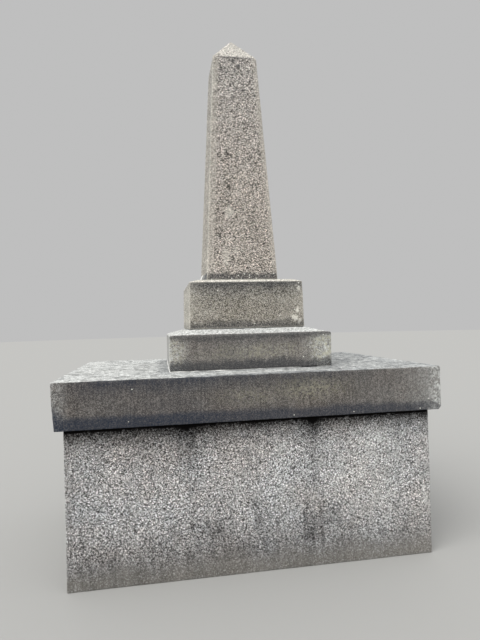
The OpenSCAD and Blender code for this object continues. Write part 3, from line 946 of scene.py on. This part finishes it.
def plinth_marks(stone, brink):
    """The plinth's marks. Growth lies in a band along its foot, below its top and in dim patches, and a lip
    of it runs over the front of the wash. The left face is painted paler, with less growth, as lit from the
    left, and the faces' ends are paler and carry more lichen. Lichen also lies in broad patches at mid
    height."""
    rest, seed, low, high = stone.rest, stone.seed, stone.low, stone.high
    x, z = rest[:, 0], rest[:, 2]
    up = ramp(stone.outward[:, 2] + 0.1 * rough(rest, 0.02, 2, seed + 15), 0.55, 0.92)
    height = (z - low[2]) / (brink - low[2])
    drawn = rest * (1, 1, 0.12)
    wave = 0.07 * noise(drawn, 0.017, seed + 13) + 0.05 * noise(drawn, 0.2, seed + 14)
    band = ramp(height + wave, 0.36, 0.16) * (1 - up)
    arris = side_distance(rest, stone.planes, BOX_SIDES) + 0.02 * noise(rest, 0.05, seed + 16)
    right = ramp(x, high[0] - 0.34, high[0] - 0.03)
    ends = most(ramp(arris, 0.15, 0.015), right * ramp(arris, 0.26, 0.03)) * (1 - up)
    ends = ends * ramp(height, 1.0, 0.85)
    brow = 0.42 * ramp(height + 0.7 * wave, 0.8, 0.92) + 0.3 * ramp(height + wave, 0.45, 0.9)
    soot = most(0.85 * band, brow * (1 - 0.6 * ends) * (1 - up))
    lip = ramp(rest[:, 1], low[1] + 0.024, low[1] + 0.014) * ramp(height, 0.97, 1.0)
    soot = most(soot, (0.5 + 0.3 * noise(rest, 0.012, seed + 31)) * lip)
    east = patches(x, z, PLINTH_WARM)
    soot = soot * (1 - 0.5 * east)
    soot = most(soot, 0.3 * right * ends * ramp(rough(rest, 0.018, 2, seed + 33), 0.0, 0.5))
    # The left face is painted paler, as lit from the left: less growth and more of the washed colour
    west = ramp(-stone.outward[:, 0], 0.5, 0.9)
    dim = 0.3 * bell(x, -0.14, 0.16) + patches(x, z, PLINTH_DIM)
    soot = most(soot, dim * (1 - up)) * (1 - 0.8 * west)
    gold = ramp(height, 0.2, 0.4) * ramp(height, 0.85, 0.65)
    gold = gold * most(ramp(rough(rest, 0.16, 2, seed + 19), -0.2, 0.4), east)
    lichen = most(0.3 * gold, (0.45 + 0.4 * right) * ends)
    return {
        "soot": soot,
        "top": up * (1 - lip),
        # Paler arrises: wear and a painted highlight
        "edge": 0.3 * stone.edge * (1 - band) * (1 - lip),
        "pale": most((0.12 + 0.1 * right) * ends * (1 - 0.85 * band), 0.4 * west * (1 - up)),
        "lichen": lichen * (1 - up) * (1 - 0.7 * band),
        "smooth": 0.4 * (1 - ends) * (1 - up),
        "coarse": (0.5 + 0.3 * right) * ends,
        "dots": 0.02 * right * (1 - up),
    }


class OBELISK_OT_plinth(bpy.types.Operator):
    """Dresses the plinth and its sloping wash"""

    bl_idname = "obelisk.plinth"
    bl_label = "Plinth"

    def execute(self, context):
        shape = settings("shape")
        look = settings("colours")
        stone = Stone("plinth_stone", 600, [shape.grid] * 3, {"-z": 3})
        low, high, rest, half = stone.low, stone.high, stone.rest, stone.half
        die_low, die_high = corners("die_stone")
        seat = (die_high[0] - die_low[0]) / 2 + shape.seat_margin
        brink = high[2] - shape.wash_rise
        top = high[2] - shape.wash_rise * np.clip((stone.reach() - seat) / (half - seat), 0, 1)
        part = (rest[:, 2] - low[2]) / (high[2] - low[2])
        rest[:, 2] = low[2] + part * (top - low[2])
        slopes = stone.slopes(half, brink, shape.wash_rise, half - seat)
        radius = shape.arris * (0.45 + 0.15 * noise(rest, 0.07, stone.seed))
        stone.wear(with_planes(box_planes(low, high), slopes), radius)
        stone.chip(box_chips(low, (high[0], high[1], brink), 9, (0.005, 0.015), stone.rng))
        stone.cut(plinth_relief(stone))
        material = granite("plinth", look.plinth_soot, look.pale, grain=0.0044, contrast=1.3,
                           streak=0.16)
        stone.dress("plinth_worn_stone", plinth_marks(stone, brink), "granite_plinth", material)
        return {"FINISHED"}


def die_relief(stone):
    """How deep the die's surface lies: broad swells, fine ones drawn out sideways and shallow pits,
    all lifted by the shared lift."""
    rest, seed = stone.rest, stone.seed
    depth = 0.001 * swell(rest, 0.25, 2, seed + 5)
    depth += 0.0009 * swell(rest * (0.7, 0.7, 1), 0.01, 2, seed + 7)
    depth += 0.0012 * pits(rest, 0.028, 0.3, seed + 11) - settings("shape").lift
    return depth


def die_marks(stone, tall):
    """The die's marks. Growth lies in a crown below its top and along its foot, and thins where the front
    was washed and near its arrises. The left face is painted pale, as lit from the left, under streaks of
    grime, and patches of white lichen with ragged rims lie on the front."""
    rest, seed, low, outward = stone.rest, stone.seed, stone.low, stone.outward
    x, z = rest[:, 0], rest[:, 2]
    up = ramp(outward[:, 2] + 0.1 * rough(rest, 0.02, 2, seed + 15), 0.5, 0.85)
    height = (z - low[2]) / tall + 0.04 * noise(rest, 0.06, seed + 13)
    # The left face is painted paler, as lit from the left: top, pale and coarse marks, and grime for growth
    left = ramp(-outward[:, 0], 0.4, 0.8)
    front = ramp(-outward[:, 1], 0.5, 0.9)
    crown = 0.3 * ramp(height, 0.62, 0.8) + 0.45 * ramp(height, 0.82, 0.95)
    crown = most(crown, patches(x, z, DIE_DIM))
    stained = 0.07 + 0.12 * rough(rest * (1, 1, 0.5), 0.09, 2, seed + 23)
    soot = most(crown, 0.7 * ramp(height, 0.25, 0.08), stained)
    arris = side_distance(rest, stone.planes, LEANING_SIDES) + 0.01 * noise(rest, 0.04, seed + 3)
    clean = 0.2 * ramp(arris, 0.13, 0.01) * front * ramp(height, 0.16, 0.3)
    clean = most(clean, patches(x, z, DIE_WASHED) * front)
    soot = soot * (1 - 1.6 * clean)
    ragged = shaken(rest, 0.011, 0.009, seed)
    white = ramp(patches(ragged[:, 0], ragged[:, 2], DIE_LICHEN), 0.45, 0.75) * front
    grime = left * (0.16 + 0.3 * ramp(height, 0.18, 0.04) + 0.2 * ramp(height, 0.84, 0.96))
    grime = grime + 0.25 * left * rough(rest * (1, 0.25, 1), 0.012, 2, seed + 35)
    return {
        "soot": most(soot * (1 - left), grime) * (1 - up),
        "top": most(up, 0.45 * left),
        # Paler arrises: wear and a painted highlight
        "edge": 0.4 * stone.edge,
        "pale": most(0.15 * left * (1 - up), clean * (1 - up), white),
        "lichen": 0.16 * (1 - crown) * (1 - up),
        "coarse": 0.4 * left * (1 - up),
        "dots": 0.005 + 0.06 * front * ramp(x, 0.3, 0.4),
    }


class OBELISK_OT_die(bpy.types.Operator):
    """Dresses the die and its bevelled top"""

    bl_idname = "obelisk.die"
    bl_label = "Die"

    def execute(self, context):
        shape = settings("shape")
        look = settings("colours")
        stone = Stone("die_stone", 700, [DIE_STEP] * 3, {"-z": 3})
        low, high, rest, half = stone.low, stone.high, stone.rest, stone.half
        brink = high[2] - shape.bevel_rise
        tall = brink - low[2]
        up_bevel = np.clip((half - stone.reach()) / shape.bevel_w, 0, 1)
        part = (rest[:, 2] - low[2]) / (high[2] - low[2])
        rest[:, 2] = low[2] + part * (tall + shape.bevel_rise * up_bevel)
        stone.narrow(1 - shape.die_batter / half * np.clip((rest[:, 2] - low[2]) / tall, 0, 1))
        faces = stone.slopes(half, low[2], tall, shape.die_batter)
        faces += stone.slopes(half - shape.die_batter, brink, shape.bevel_rise, shape.bevel_w)
        radius = shape.arris * (0.5 + 0.2 * noise(rest, 0.07, stone.seed))
        stone.wear(leaning_box(low, high, faces), radius)
        stone.chip(box_chips(low, (high[0], high[1], brink), 8, (0.005, 0.015), stone.rng))
        stone.cut(die_relief(stone))
        material = granite("die", look.soot, look.creamy, grain=0.0046, contrast=1.7, pitch=0.0105,
                           peck=0.27, share=0.03, cool=(1.58, 1.8))
        stone.dress("die_worn_stone", die_marks(stone, tall), "granite_die", material)
        return {"FINISHED"}


def shaft_tooling(stone):
    """What the shaft's relief and marks share: where the pyramidion is, the smooth margins along the
    arrises, how rough the tool left the stone, winding hollows, and oval holes. All are 0 to 1."""
    shape = settings("shape")
    rest, seed = stone.rest, stone.seed
    pyramid = ramp(stone.outward[:, 2], 0.3, 0.5)
    arris = side_distance(rest, stone.planes, LEANING_SIDES) + 0.005 * noise(rest, 0.03, seed + 3)
    margin_w = shape.margin_w * (1 + 0.45 * ramp(rest[:, 0], stone.middle[0], stone.low[0]))
    margin = ramp(arris, margin_w + 0.004, margin_w - 0.008) * (1 - pyramid)
    tooled = (1 - 0.6 * margin) * (1 - 0.4 * pyramid)
    bent = rest + 0.008 * noise(rest, 0.05, seed + 6)[:, None]
    hollows = ramp(rough(bent * (0.6, 0.6, 1), 0.0125, 2, seed + 7), 0.0, 0.5)
    holes = pits(rest * (0.6, 0.6, 1), 0.02, 0.26, seed + 11)
    return pyramid, margin, tooled, hollows, holes


def shaft_relief(stone, shoulder, pyramid, tooled, hollows, holes):
    """How deep the shaft's surface lies: broad and fine swells, with hollows and holes that deepen
    toward the shoulder. The faces are lifted by the shared lift, and the pyramidion isn't."""
    rest, seed = stone.rest, stone.seed
    upper = ramp(rest[:, 2], shoulder - 0.5, shoulder)
    depth = 0.0008 * swell(rest, 0.3, 2, seed + 5)
    depth += tooled * (0.0006 * swell(rest, 0.0085, 2, seed + 9) + 0.0018 * upper * hollows)
    depth += tooled * (0.0007 + 0.0035 * upper) * holes - settings("shape").lift * (1 - pyramid)
    return depth


def shaft_marks(stone, shoulder, pyramid, margin, tooled, hollows, holes):
    """The shaft's marks. Growth lies on its foot, in a line below the shoulder and as streaks of grime on the
    left face. Painted shade darkens its hollows and holes toward the top, and the front is darker at
    single pits and along one curved scratch. The left face is painted paler, as lit from the left. The
    margins are smooth and a little pale, and blooms of white lichen with ragged rims lie on the front."""
    rest, seed, outward = stone.rest, stone.seed, stone.outward
    x, z = rest[:, 0], rest[:, 2]
    drop = z - stone.low[2] + 0.02 * noise(rest, 0.05, seed + 13)
    foot = 0.7 * ramp(drop, 0.06, 0.03) + 0.3 * ramp(drop, 0.16, 0.02)
    left = ramp(-outward[:, 0], 0.4, 0.8)
    front = ramp(-outward[:, 1], 0.5, 0.9)
    above = ramp(z, shoulder - 0.95, shoulder - 0.1)
    # Painted shade in the hollows and holes, as the shadows of the rough face lit from above
    dark = tooled * most((0.02 + 0.2 * above) * hollows, (0.06 + 0.32 * above) * holes)
    lower = ramp(z, 2.75, 2.35) * (1 - margin)
    brow = ramp(z, shoulder - 0.022, shoulder - 0.008) * front
    grey = 0.08 * lower + 0.5 * brow * ramp(np.abs(x - 0.035), 0.15, 0.08)
    scratch = z - 2.442 - 0.055 * np.sqrt(np.clip((x - 0.005) / 0.16, 0, 1))
    within = ramp(x, 0.0, 0.02) * ramp(x, 0.17, 0.14) * front
    marked = most(patches(x, z, SHAFT_PITS) * front, 0.55 * within * bell(scratch, 0, 0.005))
    ragged = shaken(rest, 0.02, 0.012, seed)
    bloom = ramp(patches(ragged[:, 0], ragged[:, 2], SHAFT_LICHEN), 0.3, 0.8) * front
    grime = left * (0.3 + 0.4 * rough(rest * (1, 0.25, 1), 0.012, 2, seed + 35))
    soot = most(0.84 * foot * (1 - left), grey, grime, dark, marked)
    return {
        "soot": soot * (1 - 0.9 * pyramid),
        "pale": most(0.1 * pyramid, 0.2 * margin * (1 - foot), 0.45 * bloom),
        # Paler arrises: wear and a painted highlight
        "edge": 0.4 * stone.edge * (1 - pyramid),
        "lichen": 0.06 + 0.2 * left + 0.1 * foot + 0.06 * lower,
        # The left face is painted paler, as lit from the left, by the top and coarse marks
        "top": 0.42 * left * (1 - pyramid),
        "smooth": 0.4 * margin * (1 - left),
        "coarse": most(0.7 * pyramid, 0.3 * left),
        "dots": 0.004 + 0.1 * foot * (1 - pyramid),
    }


def shaft_chips(stone, top_half, shoulder):
    """Chips along the four leaning arrises, scoops at the first pits of the front, and the broken
    corner at the left of the back of the foot."""
    middle, low, half = stone.middle, stone.low, stone.half
    chips = []
    for sx, sy in itertools.product((-1, 1), repeat=2):
        start = (middle[0] + sx * half, middle[1] + sy * half, low[2])
        end = (middle[0] + sx * top_half, middle[1] + sy * top_half, shoulder)
        chips += arris_chips(start, end, (sx, sy, 0), 14, (0.004, 0.011), stone.rng)
    for x, z, *_ in SHAFT_PITS[:3]:
        chips.append((np.array((x, SCOOP_Y - (z - SCOOP_Z) * SCOOP_LEAN, z)), SCOOP_RADIUS))
    return chips + broken_corners(low, stone.high, SHAFT_BREAKS)


class OBELISK_OT_shaft(bpy.types.Operator):
    """Dresses the tapering shaft and its pyramidion"""

    bl_idname = "obelisk.shaft"
    bl_label = "Shaft and Pyramidion"

    def execute(self, context):
        shape = settings("shape")
        look = settings("colours")
        stone = Stone("obelisk_shaft", 800, SHAFT_STEPS, {"-z": 3}, shape.shoulder_z)
        low, high, rest, half = stone.low, stone.high, stone.rest, stone.half
        top_half, tip_half = shape.shoulder_w / 2, shape.tip_w / 2
        shoulder = low[2] + shape.shoulder_z
        stone.narrow(1 + (top_half / half - 1) * ((rest[:, 2] - low[2]) / shape.shoulder_z))
        steep = (high[2] - shoulder) / (top_half - tip_half)
        on_lid = rest[:, 2] > shoulder - 1e-6
        rest[:, 2] += np.where(on_lid, steep * (top_half - np.maximum(stone.reach(), tip_half)), 0)
        faces = stone.slopes(half, low[2], shape.shoulder_z, half - top_half)
        faces += stone.slopes(top_half, shoulder, steep, 1)
        radius = shape.arris * (0.5 + 0.2 * noise(rest, 0.08, stone.seed))
        stone.wear(leaning_box(low, high, faces), radius)
        stone.chip(shaft_chips(stone, top_half, shoulder))
        pyramid, margin, tooled, hollows, holes = shaft_tooling(stone)
        stone.cut(shaft_relief(stone, shoulder, pyramid, tooled, hollows, holes))
        marks = shaft_marks(stone, shoulder, pyramid, margin, tooled, hollows, holes)
        material = granite("shaft", look.soot, look.creamy, grain=0.005, contrast=4.4, flat=1.8,
                           pitch=0.0108, peck=0.88, bump=0.0015, share=0.09, cool=(2.4, 3.3))
        stone.dress("shaft_worn_stone", marks, "granite_shaft", material)
        return {"FINISHED"}


# Mortar squeezed out past the plinth's front: place across, half-width and reach
SQUEEZED = ((-0.465, 0.045, 0.014), (-0.35, 0.02, 0.009), (-0.2, 0.045, 0.011), (0.07, 0.02, 0.006))
# The stretch of the plinth's front bed that has washed out: its middle and half-width
WASHED_OUT = (0.406, 0.05)
# Spacing of the mortar's grids
MORTAR_STEP = 0.01
# How far a bed's lower rim reaches into the stone below, so that no light shows under it
SUNK = 0.006
# The shaft bed's grid: rows along its depth, and points from the toe of its fillet up to the top
BED_ROWS, FILLET_POINTS = 91, 13


def plinth_lip(points, low, high, seed):
    """How far the mortar under the plinth stands out past its packed face, or is washed in. The
    front has a bell at each place where it was squeezed out, and the left a nearly even lip. Both
    shrink toward the top."""
    x = points[:, 0]
    at_front = points[:, 1] < low[1] + 1e-6
    lip = sum(reach * bell(x, u, half) for u, half, reach in SQUEEZED)
    lip = lip - 0.03 * ramp(np.abs(x - WASHED_OUT[0]), WASHED_OUT[1] + 0.01, WASHED_OUT[1] - 0.01)
    along_left = 0.013 + 0.004 * noise(points, 0.04, seed + 1)
    lip = np.where(at_front, lip, np.where(x < low[0] + 1e-6, along_left, 0))
    return lip * (1 - 0.6 * (points[:, 2] - low[2]) / (high[2] - low[2]))


def mortar_piece(node, seed):
    """A bed or joint of mortar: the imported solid's box as a shell, with an uneven struck face. The
    thin way is up for a bed and across for a joint, and only the sides round it are uneven."""
    low, high = corners(node)
    if node == "shaft_bed":
        return shaft_bed(low, high, seed)
    thin = int(np.argmin(high - low))
    counts = [max(3, round((high[k] - low[k]) / MORTAR_STEP) + 1) for k in range(3)]
    counts[thin] = 3
    axes = [np.linspace(low[k], high[k], counts[k]) for k in range(3)]
    points, quads, flats = shell(*axes, {sign + "xyz"[thin]: 1 for sign in "-+"})
    middle = (low + high) / 2
    out = -0.0015 - 0.0015 * rough(points, 0.03, 2, seed)
    # The cap's bed is painted black, as the shade under the cap's overhang; other beds and joints are grimy
    soot = np.full(len(points), 1.0 if "cap_bed" in node else 0.75)
    if node == "plinth_bed":
        lip = plinth_lip(points, low, high, seed)
        # Where the bed has washed out, the gap is painted black, as the shade in that recess
        soot = np.where(lip > 0.003, 0.0, np.where(lip < -0.01, 1.0, 0.14))
        out += lip
    at_foot = points[:, 2] < low[2] + 1e-6
    for k in sorted({0, 1} - {thin}):
        reach = np.abs(points[:, k] - middle[k]) / (high[k] - middle[k])
        points[:, k] += np.where(reach > 0.999, np.sign(points[:, k] - middle[k]) * out, 0)
    if thin == 2:
        points[:, 2] -= np.where(at_foot, SUNK, 0)
    piece = mesh_object(node + "_mortar", points, quads, flats)
    paint(piece, {"soot": soot})
    return piece


def shaft_bed(low, high, seed):
    """The bed at the shaft's foot, with the fillet struck up its left face.

    The bed's section runs over the die from the fillet's toe, up its slightly crowned face and back
    under the shaft. The section is carried along the depth, where the fillet's height rises to the
    back and its face is lumpy. Growth covers its front part, with a wandering rim."""
    shape = settings("shape")
    shaft_low, shaft_high = corners("obelisk_shaft")
    lean = ((shaft_high[0] - shaft_low[0]) - shape.shoulder_w) / 2 / shape.shoulder_z
    across = np.linspace(low[1], high[1], BED_ROWS)
    up = np.linspace(0, 1, FILLET_POINTS)
    under_shaft = ((shaft_low[0] + 0.001, shaft_low[2]), (high[0], shaft_low[2]), (high[0], low[2]))
    count = FILLET_POINTS + len(under_shaft)
    grid = np.zeros((BED_ROWS, count, 3))
    face = grid[:, :FILLET_POINTS]
    grid[..., 1] = across[:, None]
    rise = (high[2] - low[2]) * (0.74 + 0.25 * ramp(across, low[1], high[1]))[:, None]
    rise = rise * (1 - 0.08 * np.abs(noise(grid[:, 0], 0.05, seed)))[:, None]
    foot = shaft_low[0] + lean * (low[2] + rise - shaft_low[2])
    face[..., 0] = low[0] + (foot - low[0]) * (up + 0.1 * up * (1 - up))
    face[..., 2] = low[2] + rise * up
    grid[:, FILLET_POINTS:, ::2] = under_shaft
    lumps = swell(face.reshape(-1, 3), 0.02, 3, seed).reshape(-1, FILLET_POINTS)
    face[..., 0] += 0.006 * lumps
    face[:, 1:, 2] -= 0.003 * lumps[:, 1:]
    number = np.arange(BED_ROWS * count).reshape(BED_ROWS, count)
    turned = np.roll(number, -1, axis=1)
    quads = np.stack([number[:-1], turned[:-1], turned[1:], number[1:]], axis=-1).reshape(-1, 4)
    flats = [number[0][::-1], number[-1]]
    piece = mesh_object("shaft_bed_mortar", grid.reshape(-1, 3), quads, flats)
    wander = noise(grid.reshape(-1, 3), 0.02, seed + 3).reshape(-1, count)
    soot = 0.72 * ramp(np.arange(BED_ROWS)[:, None] + 9 * wander, 60, 36)
    soot[:, FILLET_POINTS:] = 0
    soot[0] = 0.85
    paint(piece, {"soot": soot.ravel()})
    return piece


class OBELISK_OT_mortar(bpy.types.Operator):
    """Dresses the mortar in the beds and the corner joints"""

    bl_idname = "obelisk.mortar"
    bl_label = "Mortar"

    def execute(self, context):
        lime = mortar()
        nodes = [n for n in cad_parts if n.endswith("_joint") or n.endswith("_bed")]
        for number, node in enumerate(sorted(nodes)):
            piece = mortar_piece(node, 900 + 10 * number)
            place(piece, node, "mortar", lime)
        return {"FINISHED"}


# The floor's rings, and the plain grey light that it throws up on the stone
FLOOR_RINGS = (2.0, 6.0, 20.0, 60.0)
FLOOR_BOUNCE = (0.26, 0.25, 0.23)
# How bright the sky looks to the camera
BACKDROP = 0.52
# The lamp, in degrees: how wide it is, how far it stands from overhead, and its turn from the
# front, which is negative to the left
LAMP_WIDTH, LAMP_TILT, LAMP_TURN = 50, 44, -48


class OBELISK_OT_stage(bpy.types.Operator):
    """Sets up the floor, the light and the camera"""

    bl_idname = "obelisk.stage"
    bl_label = "Stage"

    def execute(self, context):
        stage = settings("stage")
        self.lay_floor(settings("colours").floor)
        self.light_up(stage)
        self.set_camera(context, stage)
        context.scene.view_settings.view_transform = "Standard"
        return {"FINISHED"}

    def lay_floor(self, pale):
        """A wide round floor at the foot of the part. Cameras see it pale, and it throws a plainer
        grey light up on the stone."""
        turn = np.linspace(0, 2 * math.pi, 97)[:-1]
        points = np.concatenate([np.stack([r * np.cos(turn), r * np.sin(turn), 0 * turn], axis=1)
                                 for r in FLOOR_RINGS])
        number = np.arange(len(points)).reshape(len(FLOOR_RINGS), -1)
        turned = np.roll(number, -1, axis=1)
        quads = np.stack([number[:-1], number[1:], turned[1:], turned[:-1]], axis=-1).reshape(-1, 4)
        floor = mesh_object("floor", points, quads, [number[0]])
        tree = Tree("floor")
        path = tree.add("LightPath").outputs
        seen = tree.math("MAXIMUM", path["Is Camera Ray"], path["Is Glossy Ray"])
        seen = tree.math("MAXIMUM", seen, path["Is Transmission Ray"])
        tone = tree.mix(seen, FLOOR_BOUNCE, pale)
        floor.data.materials.append(tree.finish(tree.add("BsdfDiffuse", {"Color": tone})))

    def light_up(self, stage):
        """An even sky, and one wide soft lamp from the upper left of the front."""
        world = bpy.data.worlds.new("even_sky")
        bpy.context.scene.world = world
        world.use_nodes = True
        nodes, links = world.node_tree.nodes, world.node_tree.links
        back = nodes["Background"]
        path = nodes.new("ShaderNodeLightPath")
        level = nodes.new("ShaderNodeMapRange")
        links.new(path.outputs["Is Camera Ray"], level.inputs["Value"])
        level.inputs["To Min"].default_value = stage.sky
        level.inputs["To Max"].default_value = BACKDROP
        links.new(level.outputs[0], back.inputs["Strength"])
        back.inputs["Color"].default_value = (1.0, 1.0, 1.0, 1.0)
        lamp = bpy.data.lights.new("soft_lamp", "SUN")
        lamp.energy = stage.sun
        lamp.angle = math.radians(LAMP_WIDTH)
        lamp.color = (1.0, 0.985, 0.96)
        holder = bpy.data.objects.new("soft_lamp", lamp)
        bpy.context.scene.collection.objects.link(holder)
        holder.rotation_euler = (math.radians(LAMP_TILT), 0, math.radians(LAMP_TURN))

    def set_camera(self, context, stage):
        """The camera, turned right by the yaw, tilted up by the pitch, then rolled."""
        cy, sy = math.cos(stage.yaw), math.sin(stage.yaw)
        cp, sp = math.cos(stage.pitch), math.sin(stage.pitch)
        level = Matrix(((cy, -sp * sy, -cp * sy), (-sy, -sp * cy, -cp * cy), (0, cp, -sp)))
        lens = bpy.data.cameras.new("camera")
        lens.sensor_fit = "HORIZONTAL"
        lens.sensor_width = 36.0
        lens.lens = stage.focal
        lens.clip_end = 200.0
        holder = bpy.data.objects.new("camera", lens)
        turned = level @ Matrix.Rotation(stage.roll, 3, "Z")
        holder.matrix_world = Matrix.Translation(stage.eye) @ turned.to_4x4()
        context.scene.collection.objects.link(holder)
        context.scene.camera = holder


class OBELISK_PT_panel(bpy.types.Panel):
    """The steps that dress the obelisk"""

    bl_idname = "OBELISK_PT_panel"
    bl_label = "Granite Obelisk"
    bl_space_type = "VIEW_3D"
    bl_region_type = "UI"
    bl_category = "Obelisk"

    def draw(self, context):
        for step in STEPS:
            self.layout.operator(step.bl_idname)
        for group in GROUPS:
            values = settings(group)
            for key in type(values).__annotations__:
                self.layout.prop(values, key)


GROUPS = {"shape": ObeliskShape, "colours": ObeliskColours, "stage": ObeliskStage}
STEPS = (OBELISK_OT_chest, OBELISK_OT_cap, OBELISK_OT_plinth, OBELISK_OT_die, OBELISK_OT_shaft,
         OBELISK_OT_mortar, OBELISK_OT_stage)
CLASSES = (*GROUPS.values(), *STEPS, OBELISK_PT_panel)


def register():
    for kind in CLASSES:
        bpy.utils.register_class(kind)
    for name, kind in GROUPS.items():
        setattr(bpy.types.Scene, "obelisk_" + name, PointerProperty(type=kind))


def unregister():
    for name in GROUPS:
        delattr(bpy.types.Scene, "obelisk_" + name)
    for kind in reversed(CLASSES):
        bpy.utils.unregister_class(kind)


def main():
    """Runs every step in order."""
    register()
    bpy.ops.obelisk.chest()
    bpy.ops.obelisk.cap()
    bpy.ops.obelisk.plinth()
    bpy.ops.obelisk.die()
    bpy.ops.obelisk.shaft()
    bpy.ops.obelisk.mortar()
    bpy.ops.obelisk.stage()


if __name__ == "__main__":
    main()
